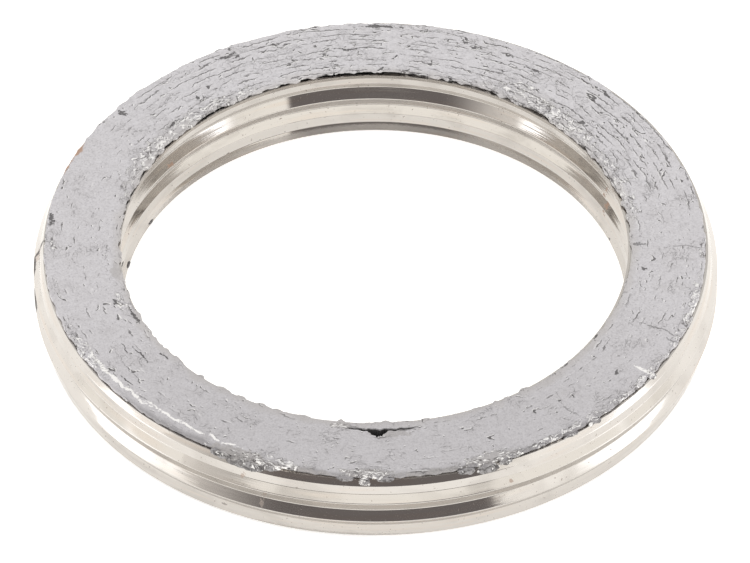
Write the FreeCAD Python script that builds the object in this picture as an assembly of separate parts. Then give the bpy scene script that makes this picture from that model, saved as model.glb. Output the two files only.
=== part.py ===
"""Spiral-wound exhaust gasket: formed steel strip and graphite tape wound into one flat ring.

The ring lies flat with its axis on +Z and the middle of its lower face at the origin. A thin
stainless strip, rolled to a W section, makes the bare turns that line the bore and the rim.
Between them the strip and a graphite tape are wound together. That roll is one solid. Its two
walls nest in the W of the steel, and its faces are smeared over by the press, save where they
have cracked open along the joint between one turn and the next.

Every spiral is drawn with two centres. Each half turn is a true arc, its centre a quarter pitch
to one side of the axis, and the next half turn has its centre as far to the other side. The arcs
meet without a kink, and one whole turn grows by one pitch.
"""
import FreeCAD, Part
import math
import os

# Overall sizes of the ring, in millimetres. The radius and the width are taken at the strip's
# edges, and the crests of the rim stand out further.
BORE_EDGE_RADIUS = 17.9
RING_WIDTH = 5.6
HEIGHT = 5.6

# Steel strip. It is a little narrower than the ring is high, so the graphite stands proud.
STRIP_THICKNESS = 0.18
GRAPHITE_PROUD = 0.10

# W section of the strip: an edge land, a steep flank, a crest and a shallow middle notch, the
# same at both edges. Each shift is how far the bend lies outside the strip's edge.
LAND_HEIGHT = 1.24
LAND_SHIFT = 0.16
FLANK_HEIGHT = 0.615
CREST_SHIFT = 0.51
NOTCH_SHIFT = 0.146

# Wound graphite between the bare steel turns.
WINDING_PITCH = 0.56
LAY_GAP = 0.03

# The strip starts at the near side of the ring, so its outer tail ends at the far side.
STRIP_START_DEG = -90.0

# Cracks between the turns of the winding. The far half of the ring has the long ones.
CRACK_WIDTH = 0.14
CRACK_DEPTH = 0.12
CRACK_START_DEG = 30.0
CRACK_SWEEP_DEG = 84.0
CRACK_STAGGER_DEG = 9.0

# Tear in the upper face where the graphite has come away from the inner steel.
EDGE_TEAR_MIDDLE_DEG = 91.0
EDGE_TEAR_ARC_DEG = 25.0
EDGE_TEAR_OPENING = 0.26
EDGE_TEAR_DEPTH = 0.70

# Crevice in the upper face, a little way in from the inner steel.
CREVICE_MIDDLE_DEG = 274.0
CREVICE_ARC_DEG = 9.0
CREVICE_INSET = 0.25
CREVICE_OPENING = 0.80
CREVICE_DEPTH = 0.45

Z_AXIS = FreeCAD.Vector(0, 0, 1)
ORIGIN = FreeCAD.Vector(0, 0, 0)


def w_section():
    """Return (height, outward shift) of the strip's bends, from its lower to its upper edge."""
    land_end = GRAPHITE_PROUD + LAND_HEIGHT
    crest = land_end + FLANK_HEIGHT
    lower_half = [(GRAPHITE_PROUD, 0.0), (land_end, LAND_SHIFT), (crest, CREST_SHIFT)]
    upper_half = [(HEIGHT - height, shift) for height, shift in reversed(lower_half)]
    return lower_half + [(HEIGHT / 2, NOTCH_SHIFT)] + upper_half


def w_band_profile(inner_radius, outer_radius, full_height=False):
    """Return the (radius, height) outline of a band whose two sides follow the W of the strip.

    It ends at the strip's edges, or at full height stands straight up from them to both faces.
    """
    bends = w_section()
    if full_height:
        bends = [(0.0, 0.0)] + bends + [(HEIGHT, 0.0)]
    inner_side = [(inner_radius + shift, height) for height, shift in bends]
    outer_side = [(outer_radius + shift, height) for height, shift in reversed(bends)]
    return inner_side + outer_side


def half_turn(profile, centre_x, first_half):
    """Turn an outline through 180 degrees about a centre on the X axis.

    The first half runs from +X over +Y to -X, the second from -X under -Y back to +X.
    """
    side = 1 if first_half else -1
    points = [FreeCAD.Vector(centre_x + side * radius, 0, height) for radius, height in profile]
    face = Part.Face(Part.makePolygon(points + points[:1]))
    return face.revolve(FreeCAD.Vector(centre_x, 0, 0), Z_AXIS, 180)


def wound(first_profile, second_profile, pitch, start_deg):
    """Join two half turns of a two-centre spiral, its first half starting at start_deg."""
    first = half_turn(first_profile, -pitch / 4, True)
    second = half_turn(second_profile, pitch / 4, False)
    ring = first.fuse(second).removeSplitter()
    ring.rotate(ORIGIN, Z_AXIS, start_deg)
    return ring.Solids[0]


def bare_turns(inner_radius):
    """Wind one and a half bare turns of strip: two plies in the first half, one in the second."""
    next_radius = inner_radius + STRIP_THICKNESS / 2
    double = w_band_profile(inner_radius, inner_radius + 2 * STRIP_THICKNESS)
    single = w_band_profile(next_radius, next_radius + STRIP_THICKNESS)
    return wound(double, single, STRIP_THICKNESS, STRIP_START_DEG)


def torn_pocket(middle_deg, arc_deg, radius, opening, depth):
    """Return a lens-shaped cutter that follows the ring, for a tear in the upper face."""
    def at(angle_deg, distance):
        """Return the point at the pocket's floor on this angle and distance from the axis."""
        angle = math.radians(angle_deg)
        return FreeCAD.Vector(distance * math.cos(angle), distance * math.sin(angle), HEIGHT - depth)

    start = at(middle_deg - arc_deg / 2, radius)
    end = at(middle_deg + arc_deg / 2, radius)
    near_side = Part.Arc(start, at(middle_deg, radius), end).toShape()
    far_side = Part.Arc(end, at(middle_deg, radius + opening), start).toShape()
    lens = Part.Face(Part.Wire([near_side, far_side]))
    return lens.extrude(FreeCAD.Vector(0, 0, 2 * depth))


def crack(turn, start_deg, sweep_deg, upper):
    """Return a V-shaped cutter along the first half of a turn, in the upper or the lower face."""
    centre_x = -WINDING_PITCH / 4
    radius = turn * WINDING_PITCH
    surface = HEIGHT if upper else 0.0
    outward = 1 if upper else -1
    # The V goes on above the face with the same slope, so the cut is as wide as stated there.
    points = [
        FreeCAD.Vector(centre_x + radius - CRACK_WIDTH, 0, surface + outward * CRACK_DEPTH),
        FreeCAD.Vector(centre_x + radius, 0, surface - outward * CRACK_DEPTH),
        FreeCAD.Vector(centre_x + radius + CRACK_WIDTH, 0, surface + outward * CRACK_DEPTH),
    ]
    cutter = Part.Face(Part.makePolygon(points + points[:1]))
    centre = FreeCAD.Vector(centre_x, 0, 0)
    cutter.rotate(centre, Z_AXIS, start_deg)
    return cutter.revolve(centre, Z_AXIS, sweep_deg)


def cracks_of_winding(inner_radius, outer_radius):
    """Return the cutters for one crack to each turn and face, staggered from turn to turn."""
    first_turn = math.ceil((inner_radius + CRACK_WIDTH) / WINDING_PITCH)
    last_turn = math.floor((outer_radius - CRACK_WIDTH) / WINDING_PITCH)
    cutters = []
    for turn in range(first_turn, last_turn + 1):
        for upper in (True, False):
            stagger = CRACK_STAGGER_DEG * ((turn if upper else turn + 1) % 3)
            cutters.append(crack(turn, CRACK_START_DEG + stagger, CRACK_SWEEP_DEG - stagger, upper))
    return cutters


def graphite_winding(inner_radius, outer_radius):
    """Wind the graphite between two spirals of bare steel.

    The radii are those of the steel's two sides in its first half turn. In the second half each
    steel spiral has one ply, which leaves half a strip's thickness more room on either side.
    """
    inner_side = inner_radius + LAY_GAP
    outer_side = outer_radius - LAY_GAP
    more_room = STRIP_THICKNESS / 2
    first_wall = w_band_profile(inner_side, outer_side, full_height=True)
    second_wall = w_band_profile(inner_side - more_room, outer_side + more_room, full_height=True)
    winding = wound(first_wall, second_wall, STRIP_THICKNESS, STRIP_START_DEG)
    edge_tear = torn_pocket(EDGE_TEAR_MIDDLE_DEG, EDGE_TEAR_ARC_DEG, inner_side,
                            EDGE_TEAR_OPENING, EDGE_TEAR_DEPTH)
    crevice = torn_pocket(CREVICE_MIDDLE_DEG, CREVICE_ARC_DEG, inner_side + CREVICE_INSET,
                          CREVICE_OPENING, CREVICE_DEPTH)
    cutters = cracks_of_winding(inner_side, outer_side) + [edge_tear, crevice]
    return winding.cut(cutters).Solids[0]


def main():
    """Build the three sub-parts and write each to its own file."""
    os.makedirs("parts", exist_ok=True)
    outer_steel_inside = BORE_EDGE_RADIUS + RING_WIDTH - 2 * STRIP_THICKNESS
    inner_steel_outside = BORE_EDGE_RADIUS + 2 * STRIP_THICKNESS
    sub_parts = {
        "inner_steel_turns": bare_turns(BORE_EDGE_RADIUS),
        "graphite_winding": graphite_winding(inner_steel_outside, outer_steel_inside),
        "outer_steel_turns": bare_turns(outer_steel_inside),
    }
    for name, solid in sub_parts.items():
        solid.exportStep(f"parts/{name}.step")
        print(name, "valid", solid.isValid(), "volume", round(solid.Volume, 2), "faces", len(solid.Faces))


main()
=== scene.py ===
"""Looks of a spiral-wound exhaust gasket: polished formed steel turns round smeared graphite.

The ring lies on a pale floor with its axis on +Z. Lengths in the classes are millimetres, and
MM turns them into the scene's metres. Angles run from +X towards +Y, so 90 degrees is the far
side of the ring and 270 degrees the side nearest the camera.
"""
import logging
import math
from dataclasses import dataclass
from enum import Enum
from typing import Callable

import bpy
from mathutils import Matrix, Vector


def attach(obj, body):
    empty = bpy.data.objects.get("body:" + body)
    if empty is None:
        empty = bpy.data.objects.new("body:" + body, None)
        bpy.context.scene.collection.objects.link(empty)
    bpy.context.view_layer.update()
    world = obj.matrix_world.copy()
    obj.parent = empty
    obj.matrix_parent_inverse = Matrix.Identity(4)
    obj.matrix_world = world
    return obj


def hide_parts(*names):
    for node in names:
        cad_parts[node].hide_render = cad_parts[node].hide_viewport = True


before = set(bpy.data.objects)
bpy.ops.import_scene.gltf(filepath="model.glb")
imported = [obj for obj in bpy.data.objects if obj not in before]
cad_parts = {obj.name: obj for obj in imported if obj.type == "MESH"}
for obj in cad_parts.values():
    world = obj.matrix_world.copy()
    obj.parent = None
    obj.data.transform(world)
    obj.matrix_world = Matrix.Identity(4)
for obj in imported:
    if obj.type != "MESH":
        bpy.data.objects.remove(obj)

MM = 0.001
RING_HEIGHT = 5.6
FACE_MIDDLE = 20.7
WELD = 0.0005
LOG = logging.getLogger("exhaust_gasket")

Point = tuple[float, float]
Colour = tuple[float, float, float]
Socket = bpy.types.NodeSocket
Value = bpy.types.NodeSocket | float | tuple[float, ...]


class SteelTint(Enum):
    """What colour a mark lays on the steel, be it real rust and dirt or painted shade and painted reflection,
    and how ragged its outline is.
    """

    RUST = ((0.27, 0.13, 0.06), 1.0)
    # Real dirt in one small mark, and painted shade in long bands on the steel.
    GRIME = ((0.16, 0.135, 0.12), 0.1)
    # Painted reflection: near-black marks at the rim's left edge, where the steel mirrors something dark.
    BURN = ((0.022, 0.013, 0.010), 0.25)

    def __init__(self, colour: Colour, ragged: float) -> None:
        """Keep the two parts of the value under their names."""
        self.colour = colour
        self.ragged = ragged


@dataclass(frozen=True)
class Mark:
    """One place where a surface is marked: a tear, a smear, a stain, bright foil, or a patch of painted
    shade, painted highlight or painted reflection.

    Its length runs along a ring of the radius "at", and its width across, both from its middle.
    """

    angle_deg: float
    where: float
    length: float
    width: float
    at: float = FACE_MIDDLE
    strength: float = 1.0
    tint: SteelTint = SteelTint.RUST


class Net:
    """Writes the shader nodes of one material, with the ring's own radius, angle and height.

    Lengths in the nodes are millimetres and angles are degrees, both taken from the piece's own
    coordinates. A field is a value that changes from place to place.
    """

    MARK_EDGE = 1.15
    MARK_CORE = 0.75

    def __init__(self, name: str) -> None:
        """Start a material with a plain shader.

        Args:
            name: name of the material.
        """
        self.material = bpy.data.materials.new(name)
        self.material.use_nodes = True
        self.nodes = self.material.node_tree.nodes
        self.shader = self.nodes["Principled BSDF"]
        own = self.nodes.new("ShaderNodeTexCoord").outputs["Object"]
        self.place = self.vector("SCALE", own, scale=1 / MM)
        x, y, self.height = self.split(self.place)
        flat = self.join(x, y, 0.0)
        self.radius = self.vector("LENGTH", flat)
        self.around = self.vector("NORMALIZE", flat)
        turned = self.times(self.math("ARCTAN2", y, x), 180 / math.pi)
        self.angle = self.math("FLOORED_MODULO", turned, 360.0)

    def feed(self, socket: Socket, value: Value) -> None:
        """Link a socket to another one, or set its own value.

        Args:
            socket: the socket to feed.
            value: the other socket, or the value.
        """
        if isinstance(value, bpy.types.NodeSocket):
            self.material.node_tree.links.new(value, socket)
        else:
            socket.default_value = value

    def math(self, operation: str, *values: Value) -> Socket:
        """Work a sum.

        Args:
            operation: name of the sum.
            values: what goes into it.

        Returns:
            The result.
        """
        node = self.nodes.new("ShaderNodeMath")
        node.operation = operation
        for socket, value in zip(node.inputs, values):
            self.feed(socket, value)
        return node.outputs[0]

    def vector(self, operation: str, *values: Value, scale: float = 1.0) -> Socket:
        """Work a vector sum.

        Args:
            operation: name of the sum.
            values: what goes into it.
            scale: the factor, where the sum is a scaling.

        Returns:
            The result.
        """
        node = self.nodes.new("ShaderNodeVectorMath")
        node.operation = operation
        for socket, value in zip(node.inputs, values):
            self.feed(socket, value)
        if operation == "SCALE":
            node.inputs["Scale"].default_value = scale
        return node.outputs["Value" if operation == "LENGTH" else "Vector"]

    def split(self, vector: Value) -> list[Socket]:
        """Return a vector's three parts."""
        node = self.nodes.new("ShaderNodeSeparateXYZ")
        self.feed(node.inputs[0], vector)
        return list(node.outputs)

    def join(self, *parts: Value) -> Socket:
        """Return the vector made of three parts."""
        node = self.nodes.new("ShaderNodeCombineXYZ")
        for socket, part in zip(node.inputs, parts):
            self.feed(socket, part)
        return node.outputs[0]

    def plus(self, *values: Value) -> Socket:
        """Return the sum of several fields."""
        result = values[0]
        for value in values[1:]:
            result = self.math("ADD", result, value)
        return result

    def times(self, *values: Value) -> Socket:
        """Return the product of several fields."""
        result = values[0]
        for value in values[1:]:
            result = self.math("MULTIPLY", result, value)
        return result

    def most(self, values: list[Socket]) -> Socket:
        """Return the greatest of several fields."""
        result = values[0]
        for value in values[1:]:
            result = self.math("MAXIMUM", result, value)
        return result

    def minus(self, value: Value, less: Value) -> Socket:
        """Return a field less another one."""
        return self.math("SUBTRACT", value, less)

    def away(self, value: Value, middle: float) -> Socket:
        """Return how far a field is from a middle value, either way."""
        return self.math("ABSOLUTE", self.minus(value, middle))

    def swing(self, noise: Socket, size: float) -> Socket:
        """Return a noise that swings to both sides of nought by up to half a size."""
        return self.times(self.minus(noise, 0.5), size)

    def smooth(self, value: Value, start: float, end: float, low: float = 0.0, high: float = 1.0) -> Socket:
        """Ease from one level to another.

        Args:
            value: the field that is followed.
            start: its value where the low level ends. It may be above the end.
            end: its value where the high level begins.
            low: the level before the start.
            high: the level past the end.

        Returns:
            The eased field.
        """
        node = self.nodes.new("ShaderNodeMapRange")
        node.interpolation_type = "SMOOTHSTEP"
        for socket, given in zip(node.inputs, (value, start, end, low, high)):
            self.feed(socket, given)
        return node.outputs[0]

    def noise(self, vector: Value, per_mm: float, detail: float = 2.0, twist: float = 0.0) -> Socket:
        """Draw a noise that averages one half.

        Args:
            vector: the place it is read at.
            per_mm: features to the millimetre.
            detail: how many finer layers it has.
            twist: how far its features are bent.

        Returns:
            The noise.
        """
        node = self.nodes.new("ShaderNodeTexNoise")
        self.feed(node.inputs["Vector"], vector)
        node.inputs["Scale"].default_value = per_mm
        node.inputs["Detail"].default_value = detail
        node.inputs["Distortion"].default_value = twist
        return node.outputs[0]

    def swept(self, across: Value, ratio: float, shift: float = 0.0) -> Socket:
        """Return a place whose features are drawn out along the ring.

        Args:
            across: the field that runs across the features.
            ratio: their width as a share of their length along the ring.
            shift: distance to slide them, for a second look at the same ones.

        Returns:
            The vector for a noise.
        """
        x, y, _ = self.split(self.vector("SCALE", self.around, scale=FACE_MIDDLE * ratio))
        return self.join(x, y, self.plus(across, shift))

    def off(self, angle_deg: float) -> Socket:
        """Return the angle from a place on the ring, between -180 and 180 degrees."""
        return self.minus(self.math("FLOORED_MODULO", self.plus(self.angle, 540.0 - angle_deg), 360.0), 180.0)

    def zone(self, angle_deg: float, half_deg: float, soft_deg: float) -> Socket:
        """Return one near a place on the ring, and nothing away from it."""
        return self.smooth(self.math("ABSOLUTE", self.off(angle_deg)), half_deg + soft_deg, half_deg)

    def patch(self, mark: Mark, across: Value, ragged: Value, sway: Value = 0.0) -> Socket:
        """Draw one mark.

        Args:
            mark: the mark.
            across: the field its place across the ring is given in.
            ragged: a field that roughens its outline.
            sway: a field, in millimetres, that bends it along the ring.

        Returns:
            The mark's strength inside it, and nothing outside it.
        """
        ahead = self.plus(self.times(self.off(mark.angle_deg), mark.at * math.pi / 180), sway)
        along = self.math("DIVIDE", ahead, mark.length)
        over = self.math("DIVIDE", self.minus(across, mark.where), mark.width)
        reach = self.vector("LENGTH", self.join(along, over, 0.0))
        return self.smooth(self.plus(reach, ragged), self.MARK_EDGE, self.MARK_CORE, 0.0, mark.strength)

    def blend(self, factor: Value, under: Value, over: Value) -> Socket:
        """Lay a colour over another one.

        Args:
            factor: one where the upper colour covers, nothing where the lower one shows.
            under: the lower colour.
            over: the upper colour.

        Returns:
            The colour seen.
        """
        node = self.nodes.new("ShaderNodeMix")
        node.data_type = "RGBA"
        self.feed(node.inputs[0], factor)
        for socket, colour in ((node.inputs[6], under), (node.inputs[7], over)):
            self.feed(socket, colour if isinstance(colour, bpy.types.NodeSocket) else (*colour, 1.0))
        return node.outputs[2]

    def coat(self, colour: Value, *layers: tuple[Value, Value, Value]) -> Socket:
        """Lay several colours over one another.

        Args:
            colour: the lowest colour.
            layers: for each layer, where it lies, how strongly it covers there, and its colour.

        Returns:
            The colour seen.
        """
        for where, cover, over in layers:
            colour = self.blend(self.times(where, cover), colour, over)
        return colour

    def finish(self, colour: Value, roughness: Value, metal: Value, relief: Value) -> bpy.types.Material:
        """Wire the fields into the shader.

        Args:
            colour: base colour.
            roughness: roughness of the surface.
            metal: one where the surface is bare metal.
            relief: height of the surface, in millimetres.

        Returns:
            The finished material.
        """
        self.feed(self.shader.inputs["Base Color"], colour)
        self.feed(self.shader.inputs["Roughness"], roughness)
        self.feed(self.shader.inputs["Metallic"], metal)
        bump = self.nodes.new("ShaderNodeBump")
        bump.inputs["Distance"].default_value = MM
        self.feed(bump.inputs["Height"], relief)
        self.feed(self.shader.inputs["Normal"], bump.outputs["Normal"])
        return self.material


@dataclass(frozen=True)
class RolledSteel:
    """Bright rolled stainless strip, with rolling lines, finger marks, a few rust and dirt marks, and bands
    of painted shade and painted dark reflection.

    A mark's place across the strip is its height above the floor.
    """

    name: str
    colour: Colour = (0.53, 0.507, 0.482)
    dull: Colour = (0.465, 0.442, 0.418)
    warm: Colour = (0.53, 0.49, 0.452)
    dirt: Colour = (0.20, 0.16, 0.13)
    roughness: float = 0.06
    smeared: float = 0.13
    rolling_depth: float = 0.0014
    wave_depth: float = 0.006
    marks: tuple[Mark, ...] = ()

    def stains_shade_reflection(self, net: Net, tint: SteelTint, ragged: Socket) -> Socket:
        """Draw the marks of one kind, which may be real rust, real dirt, painted shade or painted reflection.

        Args:
            net: the material's nodes.
            tint: the kind.
            ragged: a field that roughens its outlines.

        Returns:
            Where the steel carries it.
        """
        edge = net.times(ragged, tint.ragged)
        marks = [mark for mark in self.marks if mark.tint is tint]
        return net.most([0.0] + [net.patch(mark, net.height, edge) for mark in marks])

    def material(self) -> bpy.types.Material:
        """Mix the strip's material.

        Returns:
            The material.
        """
        net = Net(self.name)
        across = net.plus(net.height, net.times(net.radius, 0.8))
        rolling = net.noise(net.swept(across, 0.012), 9.0, 3.0)
        waves = net.noise(net.swept(across, 0.05), 2.2)
        smear = net.noise(net.swept(across, 0.5), 0.55, 3.0, 0.6)
        pits = net.smooth(net.noise(net.place, 5.5, 1.0), 0.72, 0.77)
        specks = net.smooth(net.noise(net.swept(across, 0.6), 3.1, 2.0, 0.8), 0.73, 0.76)
        dirt = net.most([net.times(pits, 0.5), net.times(specks, 0.75)])
        ragged = net.swing(net.noise(net.place, 4.5, 3.0), 3.4)
        rust, grime_and_shade, dark_reflection = (self.stains_shade_reflection(net, tint, ragged) for tint in SteelTint)
        stains_shade_reflection = net.most([rust, grime_and_shade, dark_reflection])
        colour = net.coat(
            self.colour,
            (net.smooth(smear, 0.45, 0.7), 1.0, self.dull),
            (net.smooth(waves, 0.52, 0.68), 1.0, self.warm),
            (net.smooth(rolling, 0.55, 0.75), 0.3, self.dull),
            (dirt, 1.0, self.dirt),
            # Real dirt and painted shade, laid on as one kind of mark.
            (grime_and_shade, 0.6, SteelTint.GRIME.colour),
            (rust, 0.7, SteelTint.RUST.colour),
            # Painted dark reflection.
            (dark_reflection, 0.95, SteelTint.BURN.colour),
        )
        polish = net.smooth(smear, 0.4, 0.7, self.roughness, self.smeared)
        return net.finish(
            colour,
            roughness=net.plus(polish, net.times(stains_shade_reflection, 0.3)),
            metal=net.minus(1.0, net.times(net.most([stains_shade_reflection, dirt]), 0.8)),
            relief=net.plus(net.times(rolling, self.rolling_depth), net.times(waves, self.wave_depth)),
        )


@dataclass(frozen=True)
class SmearedGraphite:
    """Grey graphite smeared by the press, cracked along the winding, with crinkled foil at its edges. Shade
    in its cracks, chips, tears, creases and pockets is painted, and so are highlights beside them and on the
    foil.

    A mark's place across the ring is its distance from the axis.
    """

    name: str = "smeared_graphite"
    colour: Colour = (0.605, 0.592, 0.617)
    ash: Colour = (0.575, 0.56, 0.58)
    pale: Colour = (0.69, 0.68, 0.71)
    slate: Colour = (0.42, 0.41, 0.425)
    light_grain: Colour = (0.72, 0.71, 0.74)
    dark_grain: Colour = (0.38, 0.37, 0.39)
    far_side_sheen: Colour = (0.76, 0.75, 0.78)
    crack_highlight: Colour = (0.80, 0.79, 0.80)
    brown: Colour = (0.50, 0.475, 0.455)
    rust: Colour = (0.40, 0.20, 0.09)
    shade: Colour = (0.25, 0.24, 0.25)
    caked: Colour = (0.33, 0.32, 0.325)
    caked_dark: Colour = (0.09, 0.083, 0.083)
    crack_shade: Colour = (0.13, 0.12, 0.125)
    hollow: Colour = (0.11, 0.10, 0.10)
    dark: Colour = (0.055, 0.05, 0.052)
    deep: Colour = (0.03, 0.028, 0.028)
    foil_and_glint: Colour = (0.93, 0.92, 0.91)
    winding_pitch: float = 0.56
    crack_middle_deg: float = 77.0
    crack_half_deg: float = 44.0
    crack_soft_deg: float = 34.0
    inner_foil: tuple[Mark, ...] = (
        Mark(48.0, 18.45, 4.9, 0.72, at=18.4),
        Mark(57.5, 18.85, 1.3, 1.15, at=18.4),
        Mark(141.0, 18.35, 6.6, 0.55, at=18.4),
        Mark(152.0, 18.45, 2.4, 0.85, at=18.4),
        Mark(20.0, 18.35, 3.8, 0.45, at=18.4),
        Mark(199.0, 18.60, 0.9, 0.30, at=18.4),
        Mark(262.5, 18.35, 0.7, 0.25, at=18.4),
    )
    outer_foil: tuple[Mark, ...] = (
        Mark(208.5, 22.75, 2.2, 0.40),
        Mark(252.0, 22.95, 1.9, 0.62),
        Mark(268.5, 23.00, 1.6, 0.55),
        Mark(291.0, 22.80, 2.3, 0.55),
        Mark(305.0, 22.90, 3.6, 0.40),
        Mark(322.0, 23.00, 3.0, 0.35),
        Mark(341.0, 22.90, 3.4, 0.32),
        Mark(358.6, 22.95, 0.8, 0.25),
        Mark(180.4, 22.45, 0.5, 0.22),
        Mark(73.3, 21.80, 0.25, 0.14),
        Mark(99.2, 18.75, 0.10, 0.55),
    )
    foil_line: tuple[Mark, ...] = (
        Mark(217.0, 22.48, 3.6, 0.12, at=22.4),
        Mark(234.0, 22.27, 4.2, 0.11, at=22.4),
        Mark(325.6, 22.60, 0.16, 0.85, at=22.4),
    )
    tears: tuple[Mark, ...] = (
        Mark(198.3, 19.00, 0.28, 0.16),
        Mark(203.8, 18.25, 0.62, 0.16),
        Mark(211.5, 20.30, 0.62, 0.05),
        Mark(214.8, 19.60, 0.90, 0.05),
        Mark(218.0, 18.35, 0.42, 0.09),
        Mark(218.8, 21.90, 0.55, 0.05),
        Mark(322.2, 21.10, 0.26, 0.09),
        Mark(308.8, 21.30, 0.07, 0.80, strength=0.45),
        Mark(336.3, 21.70, 0.06, 1.60, strength=0.60),
        Mark(334.7, 22.70, 0.05, 0.80, strength=0.50),
        Mark(359.3, 21.90, 0.06, 1.40, strength=0.50),
        Mark(359.9, 18.45, 0.10, 0.55, strength=0.70),
        Mark(173.5, 22.85, 0.50, 0.12),
        Mark(143.0, 22.41, 0.14, 0.34),
        Mark(139.5, 18.95, 0.55, 0.10),
        Mark(118.6, 22.20, 0.55, 0.13),
        Mark(117.0, 21.85, 0.30, 0.09),
        Mark(94.6, 20.40, 1.25, 0.06),
        Mark(88.8, 22.72, 1.00, 0.12),
        Mark(73.0, 22.02, 0.34, 0.15),
        Mark(63.8, 21.79, 0.30, 0.13),
        Mark(57.9, 21.29, 0.60, 0.08),
        Mark(43.3, 22.60, 0.60, 0.10),
        Mark(63.2, 20.20, 0.34, 0.09),
        Mark(72.4, 17.95, 0.12, 0.30),
        Mark(352.4, 18.95, 0.14, 0.22),
        Mark(265.5, 18.48, 0.90, 0.07, strength=0.6),
        Mark(276.5, 18.70, 0.90, 0.07, strength=0.6),
    )
    smears: tuple[Mark, ...] = (
        Mark(245.8, 22.90, 1.90, 0.50, strength=0.75),
        Mark(256.5, 23.05, 2.60, 0.26, strength=0.60),
        Mark(268.0, 22.75, 1.90, 0.34, strength=0.60),
        Mark(279.0, 23.00, 2.60, 0.24, strength=0.55),
        Mark(290.0, 22.70, 1.80, 0.45, strength=0.60),
        Mark(273.6, 19.00, 1.50, 0.34, at=18.9, strength=0.60),
        Mark(262.5, 18.30, 1.00, 0.25, at=18.3, strength=0.55),
        Mark(188.7, 18.20, 0.70, 0.45, at=18.2, strength=0.45),
        Mark(143.0, 18.60, 6.00, 0.60, at=18.5, strength=0.35),
        Mark(50.0, 18.90, 5.00, 0.70, at=18.5, strength=0.35),
    )

    def cracks(self, net: Net, back: Socket, grain: Socket) -> tuple[Socket, Socket]:
        """Draw the cracks that have opened between one turn and the next, for painted shade in them and a
        painted highlight beside them.

        Args:
            net: the material's nodes.
            back: one on the far half of the ring, where more of them have opened.
            grain: a field that varies how wide they are.

        Returns:
            The cracks, and the strips beside them that carry a painted highlight.
        """
        wobble = net.swing(net.noise(net.swept(net.radius, 0.36), 1.0), 1.25)
        ripple = net.swing(net.noise(net.swept(net.radius, 0.70), 4.2, 3.0), 0.62)
        turns = net.minus(net.times(net.radius, 1 / self.winding_pitch), net.times(net.angle, 1 / 360))
        lay = net.math("FRACT", net.plus(turns, wobble, ripple))
        broken = net.noise(net.swept(net.radius, 0.50), 1.5, 4.0)
        open_here = net.smooth(net.plus(broken, net.times(back, 0.13)), 0.56, 0.70)
        reach = net.minus(0.505, net.times(grain, 0.13))
        cracks = net.times(net.smooth(net.minus(net.away(lay, 0.5), reach), -0.04, 0.02), open_here)
        return cracks, net.times(net.smooth(net.away(lay, 0.84), 0.13, 0.04), open_here)

    def ground(self, net: Net, back: Socket, fine: Socket, middling: Socket, coarse: Socket) -> Socket:
        """Mix the grey that lies under all cracks and foil, with its grain, its dirt by the bore and the rim,
        and painted shade on its near side.

        Args:
            net: the material's nodes.
            back: one on the far half of the ring, which is more mottled.
            fine: the finest grain.
            middling: the middling grain.
            coarse: the coarsest grain.

        Returns:
            The colour.
        """
        mottle = net.plus(net.times(back, 0.30), 0.20)
        by_bore = net.smooth(net.plus(net.radius, net.times(coarse, 1.8)), 19.5, 18.8)
        by_rim = net.smooth(net.plus(net.radius, coarse), 23.0, 23.6)
        return net.coat(
            self.colour,
            (net.smooth(coarse, 0.42, 0.68), 1.0, self.ash),
            (mottle, net.smooth(middling, 0.50, 0.70), self.pale),
            (mottle, net.smooth(middling, 0.48, 0.28), self.slate),
            (net.smooth(fine, 0.50, 0.70), 0.5, self.light_grain),
            (net.smooth(fine, 0.50, 0.28), 0.5, self.dark_grain),
            (by_bore, 0.5, self.brown),
            # Painted shade: the near side of the face is darker.
            (net.zone(270.0, 25.0, 60.0), 0.22, self.shade),
            (net.times(net.zone(268.0, 38.0, 14.0), by_rim), 0.75, self.shade),
        )

    def material(self) -> bpy.types.Material:
        """Mix the graphite's material.

        Returns:
            The material.
        """
        net = Net(self.name)
        fine = net.noise(net.place, 8.0, 3.0)
        middling = net.noise(net.place, 2.3, 3.0, 0.4)
        coarse = net.noise(net.place, 0.55, 3.0)
        crumpled = net.noise(net.place, 1.9, 3.0, 1.0)
        bend = net.swing(net.noise(net.place, 1.1, 3.0), 0.85)
        bent = net.plus(net.radius, bend)
        sway = net.swing(net.noise(net.place, 0.9, 4.0, 0.7), 0.9)
        frayed = net.swing(net.noise(net.place, 5.5, 3.0), 3.4)
        ragged = net.swing(net.noise(net.place, 2.6, 4.0), 2.6)
        back = net.zone(self.crack_middle_deg, self.crack_half_deg, self.crack_soft_deg)
        over_rim = net.smooth(net.radius, 23.22, 23.34)
        cracks, crack_highlights = self.cracks(net, back, middling)

        crease = net.noise(net.swept(bent, 0.55), 1.3, 4.0, 1.1)
        creases = net.smooth(net.away(crease, 0.5), 0.014, 0.004)
        creases = net.times(creases, net.smooth(net.plus(coarse, net.times(back, 0.10)), 0.52, 0.60))
        ease = net.plus(net.times(back, 0.04), net.times(middling, 0.09))
        chips = net.smooth(net.plus(net.noise(net.swept(bent, 0.50), 2.5, 5.0, 1.2), ease), 0.715, 0.75)
        slid = net.smooth(net.plus(net.noise(net.swept(bent, 0.50, 0.075), 2.5, 5.0, 1.2), ease), 0.70, 0.74)
        chip_edge_glints = net.smooth(net.minus(slid, chips), 0.2, 0.7)
        specks = net.smooth(net.noise(net.swept(net.radius, 0.8), 4.6, 3.0), 0.66, 0.71)

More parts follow.
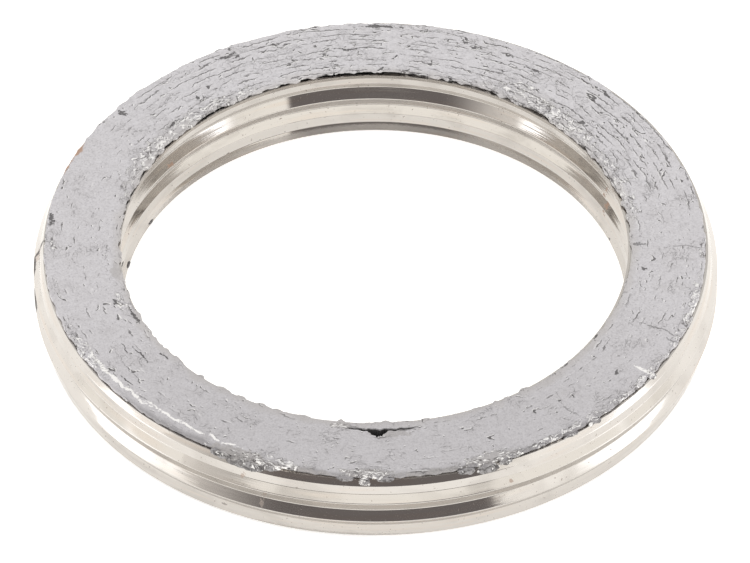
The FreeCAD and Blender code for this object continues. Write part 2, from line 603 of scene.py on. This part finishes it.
        tears = net.most([net.patch(mark, bent, frayed, sway) for mark in self.tears])
        smears = net.most([net.patch(mark, net.radius, ragged) for mark in self.smears])
        # Painted shade deep in the pockets that the tears cut.
        pocket_shade = net.times(net.smooth(net.height, 5.54, 5.42), net.smooth(net.height, 3.0, 4.0))
        pocket_shade = net.times(pocket_shade, net.smooth(net.radius, 18.30, 18.42), net.smooth(net.radius, 22.95, 22.85))
        foil_marks = [net.patch(mark, net.radius, ragged) for mark in self.inner_foil + self.outer_foil]
        foil_zone = net.most(foil_marks + [net.times(over_rim, net.smooth(middling, 0.56, 0.64))])
        lines = net.most([net.patch(mark, bent, net.times(frayed, 0.6)) for mark in self.foil_line])
        lines = net.times(lines, net.smooth(middling, 0.34, 0.44))
        # The crinkled foil is real. Its bright strokes and lines are painted glints, and the dark folds
        # beside them are painted shade.
        crinkle = net.noise(net.swept(bent, 0.45), 2.0, 3.0, 1.6)
        crinkle_in = net.noise(net.swept(bent, 0.45, 0.13), 2.0, 3.0, 1.6)
        strokes = net.smooth(net.away(crinkle, 0.53), 0.046, 0.026)
        folds = net.smooth(net.away(crinkle_in, 0.53), 0.034, 0.012)
        bright = net.most([net.times(foil_zone, strokes, net.smooth(crumpled, 0.41, 0.49)), lines])
        hollows = net.times(foil_zone, folds, net.smooth(crumpled, 0.58, 0.50))
        rust = net.times(net.zone(157.5, 3.0, 2.0), net.smooth(bent, 22.85, 23.0))
        # Painted shade at the foot of the bore, under the steel.
        bore_foot_shade = net.times(net.smooth(net.height, 0.6, 0.4), net.smooth(net.radius, 18.1, 17.95))

        colour = net.coat(
            self.ground(net, back, fine, middling, coarse),
            (over_rim, 0.9, net.blend(net.smooth(crumpled, 0.42, 0.58), self.caked, self.caked_dark)),
            # Painted shade at the foot of the bore.
            (bore_foot_shade, 0.85, self.dark),
            (smears, 1.0, net.blend(fine, self.shade, self.brown)),
            # Painted shade along the creases.
            (creases, 0.5, self.shade),
            (specks, 0.4, self.shade),
            # Painted highlight beside the cracks.
            (crack_highlights, 0.5, self.crack_highlight),
            # Painted sheen: the far half of the face is lighter.
            (back, 0.18, self.far_side_sheen),
            # Painted shade in the cracks.
            (cracks, 0.85, self.crack_shade),
            # Painted highlight on the chips' rims, then painted shade in the chips.
            (chip_edge_glints, 0.6, self.foil_and_glint),
            (chips, 0.85, self.dark),
            # Real foil with painted glints, then painted shade in its folds.
            (bright, 1.0, self.foil_and_glint),
            (hollows, 0.85, self.hollow),
            # Painted shade in the tears.
            (tears, 0.85, self.dark),
            # Painted shade in the tear pockets.
            (pocket_shade, 0.92, self.deep),
            (rust, 0.75, self.rust),
        )
        low = net.most([cracks, chips, tears, net.times(creases, 0.4)])
        face = net.minus(net.plus(net.times(fine, 0.012), net.times(middling, 0.05)), net.times(low, 0.06))
        crumple = net.times(net.plus(net.times(foil_zone, 0.06), 0.02), net.plus(crumpled, crinkle))
        return net.finish(
            colour,
            roughness=net.minus(net.smooth(coarse, 0.3, 0.7, 0.62, 0.48), net.times(bright, 0.3)),
            metal=net.times(bright, 0.35),
            relief=net.plus(face, crumple),
        )


class Edit:
    """Edit-mode helpers that work on one mesh object at a time."""

    @staticmethod
    def pick(piece: bpy.types.Object) -> None:
        """Make a piece the only selected one, and the active one.

        Args:
            piece: the piece.
        """
        bpy.ops.object.select_all(action="DESELECT")
        piece.select_set(True)
        bpy.context.view_layer.objects.active = piece

    @staticmethod
    def enter(piece: bpy.types.Object) -> None:
        """Open a piece in edit mode."""
        Edit.pick(piece)
        bpy.ops.object.mode_set(mode="EDIT")

    @staticmethod
    def leave() -> None:
        """Go back to object mode."""
        bpy.ops.object.mode_set(mode="OBJECT")

    @staticmethod
    def choose(piece: bpy.types.Object, chosen: Callable[[Vector], bool]) -> None:
        """Open a piece in edit mode with some of its vertices selected.

        Args:
            piece: the piece.
            chosen: a test on a vertex's place, in millimetres.
        """
        Edit.enter(piece)
        bpy.ops.mesh.select_all(action="DESELECT")
        Edit.leave()
        for vertex in piece.data.vertices:
            vertex.select = chosen(vertex.co / MM)
        Edit.enter(piece)

    @staticmethod
    def dot(name: str, place: Vector) -> bpy.types.Object:
        """Start a piece as one vertex, and leave it open with that vertex selected.

        Args:
            name: name of the piece.
            place: the vertex's place, in millimetres.

        Returns:
            The new object.
        """
        bpy.ops.object.select_all(action="DESELECT")
        bpy.ops.mesh.primitive_plane_add(size=MM)
        piece = bpy.context.active_object
        piece.name = name
        Edit.enter(piece)
        bpy.ops.mesh.select_all(action="SELECT")
        bpy.ops.mesh.merge(type="CENTER")
        bpy.ops.transform.translate(value=place * MM)
        return piece

    @staticmethod
    def draw_on(step: Vector) -> None:
        """Extrude the selected vertices by a step in millimetres."""
        bpy.ops.mesh.extrude_vertices_move(TRANSFORM_OT_translate={"value": step * MM})

    @staticmethod
    def outline(name: str, points: list[Vector]) -> bpy.types.Object:
        """Draw a closed loop of edges by extruding one vertex from point to point.

        Args:
            name: name of the new object.
            points: the loop's points, in millimetres.

        Returns:
            The object, whose mesh is the loop.
        """
        piece = Edit.dot(name, points[0])
        piece.data.name = name
        for before, after in zip(points, points[1:]):
            Edit.draw_on(after - before)
        Edit.leave()
        piece.data.vertices[0].select = True
        piece.data.vertices[len(points) - 1].select = True
        Edit.enter(piece)
        bpy.ops.mesh.edge_face_add()
        Edit.leave()
        return piece

    @staticmethod
    def turn(angle_deg: float) -> None:
        """Turn what is selected about the ring's axis, anticlockwise as seen from above."""
        bpy.ops.transform.rotate(
            value=-math.radians(angle_deg), orient_axis="Z", center_override=(0.0, 0.0, 0.0)
        )

    @staticmethod
    def sweep(angle_deg: float, centre_x: float, steps: int) -> None:
        """Sweep what is selected anticlockwise about an upright axis that stands on the X axis."""
        centre = (centre_x * MM, 0.0, 0.0)
        bpy.ops.mesh.spin(steps=steps, angle=-math.radians(angle_deg), center=centre, axis=(0, 0, 1))

    @staticmethod
    def weld() -> None:
        """Merge the vertices of the open piece that lie on one another."""
        bpy.ops.mesh.select_all(action="SELECT")
        bpy.ops.mesh.remove_doubles(threshold=WELD * MM)

    @staticmethod
    def face_outwards() -> None:
        """Turn every face of the open piece outwards."""
        bpy.ops.mesh.select_all(action="SELECT")
        bpy.ops.mesh.normals_make_consistent(inside=False)

    @staticmethod
    def modify(piece: bpy.types.Object, kind: str, **settings: object) -> None:
        """Put a modifier on a piece, set it and apply it.

        Args:
            piece: the piece.
            kind: the kind of modifier.
            settings: what to set on it, by name.
        """
        modifier = piece.modifiers.new(kind.lower(), kind)
        for key, value in settings.items():
            setattr(modifier, key, value)
        Edit.pick(piece)
        bpy.ops.object.modifier_apply(modifier=modifier.name)

    @staticmethod
    def roughen(
        piece: bpy.types.Object, texture: bpy.types.Texture, level: float, strength: float, group: str = ""
    ) -> None:
        """Push a surface in and out by a texture.

        Args:
            piece: the piece.
            texture: the texture.
            level: the texture's value that moves nothing.
            strength: how far its whole range moves the surface, in millimetres.
            group: the vertex group to keep to.
        """
        Edit.modify(
            piece, "DISPLACE", texture=texture, texture_coords="LOCAL", direction="NORMAL",
            vertex_group=group, mid_level=level, strength=strength * MM,
        )

    @staticmethod
    def group(piece: bpy.types.Object, name: str, chosen: Callable[[Vector], bool]) -> None:
        """Gather the vertices that a test on their place, in millimetres, picks out."""
        found = [vertex.index for vertex in piece.data.vertices if chosen(vertex.co / MM)]
        piece.vertex_groups.new(name=name).add(found, 1.0, "REPLACE")

    @staticmethod
    def clouds(name: str, size: float, depth: int) -> bpy.types.Texture:
        """Make a cloud texture for roughening.

        Args:
            name: name of the texture.
            size: size of its clouds, in millimetres.
            depth: how many finer layers it has.

        Returns:
            The texture.
        """
        texture = bpy.data.textures.new(name, "CLOUDS")
        texture.noise_scale = size * MM
        texture.noise_depth = depth
        return texture


@dataclass(frozen=True)
class StripSection:
    """W section of the rolled steel strip, with rounded bends and edges that curl inwards.

    Heights are above the floor. Shifts are outwards from the ring's nominal edge. The guard is
    the distance from a bend to the points that keep the flats beside it flat.
    """

    low: float = 0.27
    high: float = 5.33
    lower_edge_shift: float = -0.15
    lower_curl_shift: float = 0.06
    upper_edge_shift: float = -0.20
    upper_curl_shift: float = 0.0
    curl_height: float = 0.46
    lower_curl_height: float = 0.58
    land_end: float = 1.34
    land_shift: float = 0.16
    crest_height: float = 1.955
    crest_shift: float = 0.51
    notch_shift: float = 0.146
    bend_radius: float = 0.10
    curl_radius: float = 0.35
    longest_curve: float = 0.4
    bend_steps: int = 4
    guard: float = 0.02

    def wall(self) -> list[Point]:
        """Return (outward shift, height) of the sharp bends between the curled edges, going up."""
        return [
            (self.land_shift, self.land_end),
            (self.crest_shift, self.crest_height),
            (self.notch_shift, RING_HEIGHT / 2),
            (self.crest_shift, RING_HEIGHT - self.crest_height),
            (self.land_shift, RING_HEIGHT - self.land_end),
        ]

    def bends(self) -> list[Point]:
        """Return (outward shift, height) of all sharp bends from the lower to the upper edge."""
        lower_curl = (self.lower_curl_shift, self.low + self.lower_curl_height)
        upper_curl = (self.upper_curl_shift, self.high - self.curl_height)
        edges = (self.lower_edge_shift, self.low), (self.upper_edge_shift, self.high)
        return [edges[0], lower_curl] + self.wall() + [upper_curl, edges[1]]

    def rounded(self) -> list[Point]:
        """Put a curve in place of each sharp bend.

        Returns:
            The section's path, from the lower to the upper edge.
        """
        bends = [Vector(bend) for bend in self.bends()]
        path = [bends[0]]
        radii = [self.curl_radius] + [self.bend_radius] * len(self.wall()) + [self.curl_radius]
        for radius, before, bend, after in zip(radii, bends, bends[1:], bends[2:]):
            towards = (before - bend).normalized()
            onwards = (after - bend).normalized()
            half = towards.angle(onwards) / 2
            shortest = min((before - bend).length, (after - bend).length)
            reach = min(radius / math.tan(half), self.longest_curve * shortest)
            path.append(bend + towards * (reach + self.guard))
            for step in range(self.bend_steps + 1):
                share = step / self.bend_steps
                start = bend + towards * reach * (1 - share)
                end = bend + onwards * reach * share
                path.append(start.lerp(end, share))
            path.append(bend + onwards * (reach + self.guard))
        path.append(bends[-1])
        return [(point.x, point.y) for point in path]


@dataclass
class RingPart:
    """A part of the ring: its name, the CAD node it stands for, its finish and its slot."""

    name: str
    node: str
    finish: RolledSteel | SmearedGraphite
    material_slot: str

    def dress(self, piece: bpy.types.Object) -> None:
        """Give the finished mesh its material, hide the CAD node that it stands for, and tie it to its body.

        Args:
            piece: the part's finished mesh.
        """
        piece.data.materials.clear()
        piece.data.materials.append(self.finish.material())
        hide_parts(self.node)
        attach(piece, "root")


@dataclass
class SteelTurns(RingPart):
    """Bare turns of strip, wound as a two-centre spiral from the near side of the ring."""

    inner_radius: float
    section: StripSection
    strip_thickness: float = 0.18
    ply_gap: float = 0.012
    half_turns: int = 3
    start_deg: float = -90.0
    steps: int = 96
    smooth_deg: float = 40.0

    def close_ends(self) -> None:
        """Cap both ends of the open piece's strip, and leave it with whole vertices to pick."""
        bpy.ops.mesh.select_all(action="DESELECT")
        bpy.ops.mesh.select_mode(type="EDGE")
        bpy.ops.mesh.select_non_manifold()
        bpy.ops.mesh.edge_face_add()
        bpy.ops.mesh.select_mode(type="VERT")

    def build(self) -> bpy.types.Object:
        """Wind the strip anticlockwise.

        Returns:
            The finished piece.
        """
        path = self.section.rounded()
        thickness = self.strip_thickness - self.ply_gap
        inside = self.inner_radius - self.strip_thickness / 4
        outer_side = [Vector((inside + thickness + shift, 0.0, z)) for shift, z in path]
        inner_side = [Vector((inside + shift, 0.0, z)) for shift, z in reversed(path)]
        piece = Edit.outline(self.name, outer_side + inner_side)
        Edit.enter(piece)
        bpy.ops.mesh.select_all(action="SELECT")
        for half in range(self.half_turns):
            side = -1 if half % 2 == 0 else 1
            Edit.sweep(180.0, side * self.strip_thickness / 4, self.steps)
        bpy.ops.mesh.edge_face_add()
        Edit.weld()
        self.close_ends()
        Edit.face_outwards()
        Edit.turn(self.start_deg)
        Edit.leave()
        bpy.ops.object.shade_smooth_by_angle(angle=math.radians(self.smooth_deg))
        return piece


@dataclass(frozen=True)
class Tear:
    """A lens-shaped opening that follows the ring, between two heights."""

    middle_deg: float
    arc_deg: float
    radius: float
    opening: float
    low: float
    high: float = 5.8
    ripple: float = 0.05
    long_waves: float = 31.0
    short_waves: float = 57.0
    short_share: float = 0.7
    steps: int = 40

    def cutter(self) -> bpy.types.Object:
        """Make the solid to cut the tear with.

        Returns:
            The solid.
        """
        points = []
        for side in (0, 1):
            for step in range(self.steps):
                share = step / self.steps if side == 0 else 1 - step / self.steps
                angle = math.radians(self.middle_deg + self.arc_deg * (share - 0.5))
                swell = math.sin(math.pi * share)
                waves = math.sin(self.long_waves * share)
                waves += self.short_share * math.sin(self.short_waves * share + side)
                distance = self.radius + (self.opening * side + self.ripple * waves) * swell
                points.append(Vector((distance * math.cos(angle), distance * math.sin(angle), self.low)))
        piece = Edit.outline("tear_cutter", points)
        Edit.enter(piece)
        bpy.ops.mesh.select_all(action="SELECT")
        bpy.ops.mesh.edge_face_add()
        bpy.ops.mesh.extrude_region_move(
            TRANSFORM_OT_translate={"value": (0.0, 0.0, (self.high - self.low) * MM)}
        )
        Edit.face_outwards()
        Edit.leave()
        return piece


@dataclass(frozen=True)
class Lump:
    """A lump of graphite and foil that the press has smeared over an edge of the ring."""

    angle_deg: float
    radius: float
    height: float
    length: float
    width: float
    tall: float
    crumple_share: float = 0.9
    deepest_crumple: float = 0.34
    subdivisions: int = 4

    def build(self, crumple: bpy.types.Texture) -> bpy.types.Object:
        """Squeeze a ball into the lump.

        Args:
            crumple: the texture that crumples it.

        Returns:
            The crumpled lump.
        """
        bpy.ops.object.select_all(action="DESELECT")
        bpy.ops.mesh.primitive_ico_sphere_add(subdivisions=self.subdivisions, radius=MM)
        piece = bpy.context.active_object
        Edit.enter(piece)
        bpy.ops.mesh.select_all(action="SELECT")
        bpy.ops.transform.resize(
            value=(self.width / 2, self.length / 2, self.tall / 2), center_override=(0.0, 0.0, 0.0)
        )
        bpy.ops.transform.translate(value=(self.radius * MM, 0.0, self.height * MM))
        Edit.turn(self.angle_deg)
        Edit.leave()
        Edit.roughen(piece, crumple, 0.5, min(self.deepest_crumple, self.crumple_share * self.width))
        return piece


@dataclass
class GraphiteWinding(RingPart):
    """The wound and pressed graphite, smeared out over the edges of the steel on both sides."""

    height: float = RING_HEIGHT
    inner_radius: float = 18.36
    outer_radius: float = 23.06
    wall: StripSection = StripSection()
    inner_lip: float = 17.84
    outer_lip: float = 23.14
    lip_depth: float = 0.25
    lip_round: float = 0.06
    lip_lean: float = 0.01
    lip_shoulder: float = 0.09
    lip_crown: float = 0.015
    lower_outer_inset: float = 0.02
    lower_inner_inset: float = 0.12
    lower_margin: float = 0.12
    upper_margin: float = 0.10
    top_points: int = 50
    bottom_points: int = 9
    steps: int = 840
    smooth_deg: float = 60.0
    face_skin: float = 0.02
    wave_depth: float = 0.11
    wave_level: float = 0.85
    fray_reach: float = 0.09
    fray_height: float = 0.4
    fray_level: float = 0.55
    inner_fray: float = 0.75
    outer_fray: float = 0.38
    lumps: tuple[Lump, ...] = (
        Lump(247.6, 23.20, 5.16, 2.9, 0.86, 0.70),
        Lump(243.0, 23.18, 5.30, 1.5, 0.66, 0.44),
        Lump(252.0, 23.16, 5.30, 1.6, 0.56, 0.40),
        Lump(264.8, 23.14, 5.30, 1.3, 0.56, 0.36),
        Lump(268.4, 23.22, 5.14, 0.9, 0.60, 0.62),
        Lump(271.8, 23.14, 5.30, 1.2, 0.50, 0.36),
        Lump(285.6, 23.16, 5.28, 1.3, 0.56, 0.40),
        Lump(289.4, 23.20, 5.14, 1.7, 0.74, 0.68),
        Lump(292.6, 23.18, 5.28, 1.0, 0.56, 0.42),
        Lump(305.5, 23.18, 5.38, 1.3, 0.34, 0.26),
        Lump(310.5, 23.20, 5.36, 1.1, 0.36, 0.30),
        Lump(325.5, 23.16, 5.34, 0.6, 0.60, 0.34),
        Lump(340.0, 23.12, 5.40, 1.6, 0.30, 0.22),
        Lump(153.5, 17.76, 0.20, 0.8, 0.16, 0.22),
        Lump(168.5, 17.75, 0.18, 0.8, 0.15, 0.20),
        Lump(34.0, 17.76, 0.16, 1.2, 0.14, 0.16),
        Lump(20.5, 17.74, 0.18, 0.4, 0.18, 0.22),
    )
    tears: tuple[Tear, ...] = (
        Tear(middle_deg=90.5, arc_deg=33.0, radius=17.55, opening=1.10, low=5.0, high=5.545),
        Tear(middle_deg=271.6, arc_deg=15.5, radius=18.52, opening=0.22, low=4.5),
        Tear(middle_deg=270.6, arc_deg=4.8, radius=18.62, opening=0.62, low=4.5),
    )

    def lip(self, edge: float, inwards: int) -> list[Point]:
        """Draw a lip from its underside up to the face.

        Args:
            edge: distance of the lip's edge from the axis.
            inwards: one where the ring lies outside the edge, and minus one where it lies inside.

        Returns:
            The lip's bends.
        """
        under = self.height - self.lip_depth
        return [
            (edge + inwards * self.lip_round, under),
            (edge, under + self.lip_round),
            (edge + inwards * self.lip_lean, self.height - self.lip_shoulder),
            (edge + inwards * self.lip_round, self.height - self.lip_crown),
        ]

    def across(self, start: float, end: float, count: int, z: float) -> list[Point]:
        """Return evenly spaced points across a face."""
        return [(start + (end - start) * i / (count - 1), z) for i in range(count)]

    def section(self) -> list[Vector]:
        """Draw the closed section of the roll, from the lower face round to the inner wall.

        Returns:
            The section's points.
        """
        bends = self.wall.wall()
        outer_lip = self.lip(self.outer_lip, -1)
        inner_lip = self.lip(self.inner_lip, 1)
        under = self.height - self.lip_depth
        lower_start = self.inner_lip + self.lower_margin
        lower_end = self.outer_lip - self.lower_margin
        upper_start = self.outer_lip - self.upper_margin
        upper_end = self.inner_lip + self.upper_margin
        section = self.across(lower_start, lower_end, self.bottom_points, 0.0)
        section += [(radius - self.lower_outer_inset, self.height - z) for radius, z in reversed(outer_lip)]
        section += [(self.outer_radius, self.lip_depth)]
        section += [(self.outer_radius + shift, z) for shift, z in bends]
        section += [(self.outer_radius, under)] + outer_lip
        section += self.across(upper_start, upper_end, self.top_points, self.height)
        section += inner_lip[::-1] + [(self.inner_radius, under)]
        section += [(self.inner_radius + shift, z) for shift, z in reversed(bends)]
        section += [(self.inner_radius, self.lip_depth)]
        section += [(radius + self.lower_inner_inset, self.height - z) for radius, z in inner_lip]
        return [Vector((radius, 0.0, z)) for radius, z in section]

    def tear_open(self, piece: bpy.types.Object) -> None:
        """Cut the tears out of the roll.

        Args:
            piece: the roll.
        """
        for tear in self.tears:
            cutter = tear.cutter()
            Edit.modify(piece, "BOOLEAN", object=cutter, operation="DIFFERENCE", solver="MANIFOLD")
            bpy.data.objects.remove(cutter)

    def press(self, piece: bpy.types.Object) -> None:
        """Work the pressed relief into the faces and fray the lips.

        Args:
            piece: the roll.
        """
        middle = (self.inner_lip + self.outer_lip) / 2
        edge = (self.outer_lip - self.inner_lip) / 2 - self.fray_reach
        face = self.height - self.face_skin
        lip = self.height - self.fray_height
        Edit.group(piece, "faces", lambda at: at.z > face or at.z < self.face_skin)
        Edit.group(piece, "inner_lip", lambda at: middle - at.xy.length > edge and at.z > lip)
        Edit.group(piece, "outer_lip", lambda at: at.xy.length - middle > edge and at.z > lip)
        waves = Edit.clouds("pressed_waves", size=1.5, depth=3)
        Edit.roughen(piece, waves, self.wave_level, self.wave_depth, "faces")
        fray = Edit.clouds("frayed_lips", size=0.85, depth=3)
        Edit.roughen(piece, fray, self.fray_level, self.inner_fray, "inner_lip")
        Edit.roughen(piece, fray, self.fray_level, self.outer_fray, "outer_lip")
        piece.vertex_groups.clear()

    def smear(self, piece: bpy.types.Object) -> None:
        """Join the lumps to the roll.

        Args:
            piece: the roll.
        """
        crumple = Edit.clouds("crumpled_lumps", size=0.45, depth=2)
        made = [lump.build(crumple) for lump in self.lumps]
        Edit.pick(piece)
        for lump in made:
            lump.select_set(True)
        bpy.ops.object.join()

    def flatten(self, piece: bpy.types.Object) -> None:
        """Press anything that stands out of either face back into it.

        Args:
            piece: the roll.
        """
        for level, side in ((self.height * MM, 1), (0.0, -1)):
            Edit.choose(piece, lambda at: (at.z * MM - level) * side > 0)
            bpy.ops.transform.resize(value=(1.0, 1.0, 0.0), center_override=(0.0, 0.0, level))
            Edit.leave()

    def build(self) -> bpy.types.Object:
        """Turn the section into the roll, then tear it, roughen it and smear it.

        Returns:
            The finished piece.
        """
        piece = Edit.outline(self.name, self.section())
        Edit.modify(
            piece, "SCREW", angle=2 * math.pi, steps=self.steps, render_steps=self.steps,
            use_merge_vertices=True, merge_threshold=0.001 * MM, use_smooth_shade=True,
        )
        Edit.enter(piece)
        Edit.weld()
        Edit.face_outwards()
        Edit.leave()
        self.tear_open(piece)
        self.press(piece)
        self.smear(piece)
        self.flatten(piece)
        Edit.pick(piece)
        bpy.ops.object.shade_smooth_by_angle(angle=math.radians(self.smooth_deg))
        return piece


@dataclass(frozen=True)
class Card:
    """A curved card round the stage: where it stands, and how it glows.

    Its glow fades to the edge's over the first and the last few degrees of its sweep. With a
    foot, the card goes on as a flat sheet from its lower edge in to that distance.
    """

    name: str
    from_deg: float
    to_deg: float
    low_deg: float
    high_deg: float
    glow: Colour
    edge: Colour
    fade_in_deg: float = 10.0
    fade_out_deg: float = 10.0
    distance: float = 900.0
    foot: float = 0.0
    lowest: float = 0.05
    steps: int = 48

    def material(self) -> bpy.types.Material:
        """Mix the card's glow.

        Returns:
            The material.
        """
        net = Net(self.name)
        net.shader.inputs["Base Color"].default_value = (0.0, 0.0, 0.0, 1.0)
        net.shader.inputs["Specular IOR Level"].default_value = 0.0
        net.shader.inputs["Emission Strength"].default_value = 1.0
        off = net.off((self.from_deg + self.to_deg) / 2)
        half = (self.to_deg - self.from_deg) / 2
        fade_in = net.smooth(off, -half, self.fade_in_deg - half)
        fade_out = net.smooth(off, half, half - self.fade_out_deg)
        glow = net.blend(net.times(fade_in, fade_out), self.edge, self.glow)
        net.feed(net.shader.inputs["Emission Color"], glow)
        return net.material

    def build(self) -> bpy.types.Object:
        """Stand the card up, seen only as a reflection in the steel.

        Returns:
            The card.
        """
        low = self.distance * math.tan(math.radians(self.low_deg))
        high = self.distance * math.tan(math.radians(self.high_deg))
        piece = Edit.dot(self.name, Vector((self.foot or self.distance, 0.0, max(low, self.lowest))))
        if self.foot:
            Edit.draw_on(Vector((self.distance - self.foot, 0.0, 0.0)))
        Edit.draw_on(Vector((0.0, 0.0, high - low)))
        bpy.ops.mesh.select_all(action="SELECT")
        Edit.turn(self.from_deg)
        Edit.sweep(self.to_deg - self.from_deg, 0.0, self.steps)
        Edit.leave()
        piece.data.materials.append(self.material())
        piece.visible_camera = False
        piece.visible_diffuse = False
        piece.visible_shadow = False
        piece.visible_transmission = False
        return piece


@dataclass
class Studio:
    """Pale floor, pale soft surroundings, and the camera at the photograph's viewing angle."""

    elevation_deg: float = 43.25
    distance: float = 669.8
    aim_below_deg: float = 0.228
    lens: float = 460.0
    nearest: float = 0.05
    farthest: float = 10.0
    floor_size: float = 3000.0
    floor_drop: float = 0.02
    floor_colour: Colour = (0.9, 0.89, 0.87)
    floor_light: Colour = (1.0, 0.99, 0.97)
    floor_glow: float = 0.62
    floor_roughness: float = 0.9
    surround: Colour = (1.0, 0.985, 0.965)
    cards: tuple[Card, ...] = (
        Card("dark_opening", 212.0, 305.0, 0.0, 15.5, (0.235, 0.212, 0.208), (1.25, 1.2, 1.14),
             fade_in_deg=32.0, fade_out_deg=2.0, foot=48.0),
        Card("left_softbox", 190.0, 215.0, 0.0, 7.0, (2.8, 2.8, 2.82), (1.45, 1.42, 1.36)),
        Card("left_table", 195.0, 226.0, 0.1, 0.3, (2.8, 2.8, 2.82), (1.5, 1.47, 1.41),
             fade_in_deg=4.0, fade_out_deg=16.0, distance=60.0, foot=33.5),
        Card("right_softbox", 325.0, 350.0, 0.0, 7.0, (2.8, 2.8, 2.84), (1.45, 1.42, 1.36)),
        Card("right_table", 318.0, 345.0, 0.1, 0.3, (2.8, 2.8, 2.84), (1.5, 1.47, 1.41),
             fade_in_deg=10.0, fade_out_deg=4.0, distance=60.0, foot=33.5),
        Card("front_wall", 140.0, 400.0, 0.1, 50.0, (1.50, 1.46, 1.38), (1.0, 0.985, 0.965), distance=1000.0),
    )

    def floor(self) -> bpy.types.Object:
        """Lay the floor under the ring.

        Returns:
            The floor.
        """
        bpy.ops.object.select_all(action="DESELECT")
        bpy.ops.mesh.primitive_plane_add(size=self.floor_size * MM, location=(0, 0, -self.floor_drop * MM))
        floor = bpy.context.active_object
        floor.name = "floor"
        made = bpy.data.materials.new("floor_paper")
        made.use_nodes = True
        shader = made.node_tree.nodes["Principled BSDF"]
        shader.inputs["Base Color"].default_value = (*self.floor_colour, 1.0)
        shader.inputs["Roughness"].default_value = self.floor_roughness
        shader.inputs["Emission Color"].default_value = (*self.floor_light, 1.0)
        shader.inputs["Emission Strength"].default_value = self.floor_glow
        floor.data.materials.append(made)
        return floor

    def light(self) -> None:
        """Give the scene an even, pale surround."""
        world = bpy.data.worlds.new("pale_surround")
        world.use_nodes = True
        world.node_tree.nodes["Background"].inputs["Color"].default_value = (*self.surround, 1.0)
        bpy.context.scene.world = world

    def camera(self) -> None:
        """Place the camera, aimed a little below the middle of the upper face."""
        rise = math.radians(self.elevation_deg)
        back = Vector((0.0, -math.cos(rise), math.sin(rise))) * self.distance
        pitch = math.radians(90.0 - self.elevation_deg - self.aim_below_deg)
        place = back + Vector((0.0, 0.0, RING_HEIGHT))
        bpy.ops.object.camera_add(location=place * MM, rotation=(pitch, 0.0, 0.0))
        camera = bpy.context.active_object
        camera.data.lens = self.lens
        camera.data.clip_start = self.nearest
        camera.data.clip_end = self.farthest
        bpy.context.scene.camera = camera

    def build(self) -> None:
        """Set the whole stage up."""
        self.floor()
        [card.build() for card in self.cards]
        self.light()
        self.camera()
        bpy.context.scene.view_settings.view_transform = "Standard"


def main() -> None:
    """Build every piece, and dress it."""
    logging.basicConfig(level=logging.INFO, format="%(message)s")
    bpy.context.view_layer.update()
    bore_steel = RolledSteel("bore_steel", marks=(
        Mark(26.0, 2.2, 0.22, 0.95, at=18.2),
        Mark(22.0, 3.6, 0.25, 0.12, at=18.2),
        Mark(143.0, 3.0, 0.30, 0.15, at=18.2),
        Mark(205.0, 1.2, 0.60, 0.15, at=18.2),
        # Painted shade: darker bands along the notch and along the foot of the bore's far wall.
        Mark(90.0, 2.45, 26.0, 0.30, at=18.2, strength=0.55, tint=SteelTint.GRIME),
        Mark(90.0, 0.10, 20.0, 0.45, at=18.2, strength=0.35, tint=SteelTint.GRIME),
    ))
    rim_steel = RolledSteel("rim_steel", marks=(
        Mark(157.5, 5.0, 1.10, 0.50, at=23.5),
        Mark(251.0, 2.4, 0.16, 0.30, at=23.5, strength=0.35),
        Mark(247.5, 4.3, 0.16, 0.20, at=23.5, strength=0.5),
        Mark(179.2, 4.3, 0.55, 0.75, at=23.5, strength=0.45),
        # Painted dark reflections at the rim's left edge.
        Mark(178.7, 4.55, 0.22, 0.90, at=23.5, tint=SteelTint.BURN),
        Mark(180.6, 3.70, 0.95, 0.24, at=23.5, tint=SteelTint.BURN),
        Mark(184.6, 2.05, 1.15, 0.28, at=23.5, tint=SteelTint.BURN),
        Mark(293.0, 3.9, 0.14, 0.10, at=23.5, strength=0.6),
        # Painted shade: a darker band along the foot of the rim on the near side. The small mark after it is
        # real dirt.
        Mark(263.0, 0.20, 7.0, 0.30, at=23.5, strength=0.45, tint=SteelTint.GRIME),
        Mark(244.0, 1.0, 0.22, 0.10, at=23.5, tint=SteelTint.GRIME),
    ))
    bore_section = StripSection(
        low=0.12, lower_edge_shift=-0.27, lower_curl_shift=0.03, land_shift=0.13, notch_shift=0.08
    )
    rim_section = StripSection(lower_edge_shift=0.06, lower_curl_shift=0.14, land_shift=0.13)
    parts = (
        SteelTurns("bore_turns", "inner_steel_turns", bore_steel, "strip_steel", 17.9, bore_section),
        SteelTurns("rim_turns", "outer_steel_turns", rim_steel, "strip_steel", 23.14, rim_section),
        GraphiteWinding("graphite_roll", "graphite_winding", SmearedGraphite(), "graphite"),
    )
    for part in parts:
        piece = part.build()
        part.dress(piece)
        piece.data.calc_loop_triangles()
        LOG.info("%s: %d triangles", piece.name, len(piece.data.loop_triangles))
    Studio().build()


if __name__ == "__main__":
    main()
